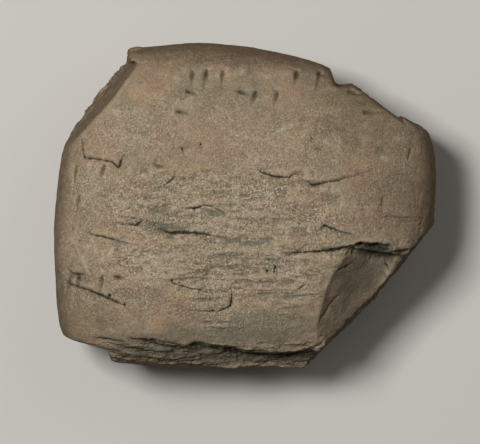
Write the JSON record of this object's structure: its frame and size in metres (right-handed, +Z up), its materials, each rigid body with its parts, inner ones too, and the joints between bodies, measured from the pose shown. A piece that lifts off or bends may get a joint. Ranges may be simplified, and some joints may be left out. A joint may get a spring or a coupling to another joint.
{
  "type": "cuneiform tablet",
  "caption": "Worn pillow-shaped clay tablet with broken corners, gaping cracks and shallow rows of wedge strokes that are not letters, lying face up.",
  "frame": {"origin": "on the surface that the tablet lies on, under the middle of its box", "axes": "+X along the lines of writing, to the right; +Y towards the head of the text; +Z up, out of the written face"},
  "size_m": [0.0544, 0.0462, 0.0224],
  "materials": {
    "clay": "matte"
  },
  "bodies": {
    "root": {"tablet": "clay"}
  },
  "joints": []
}
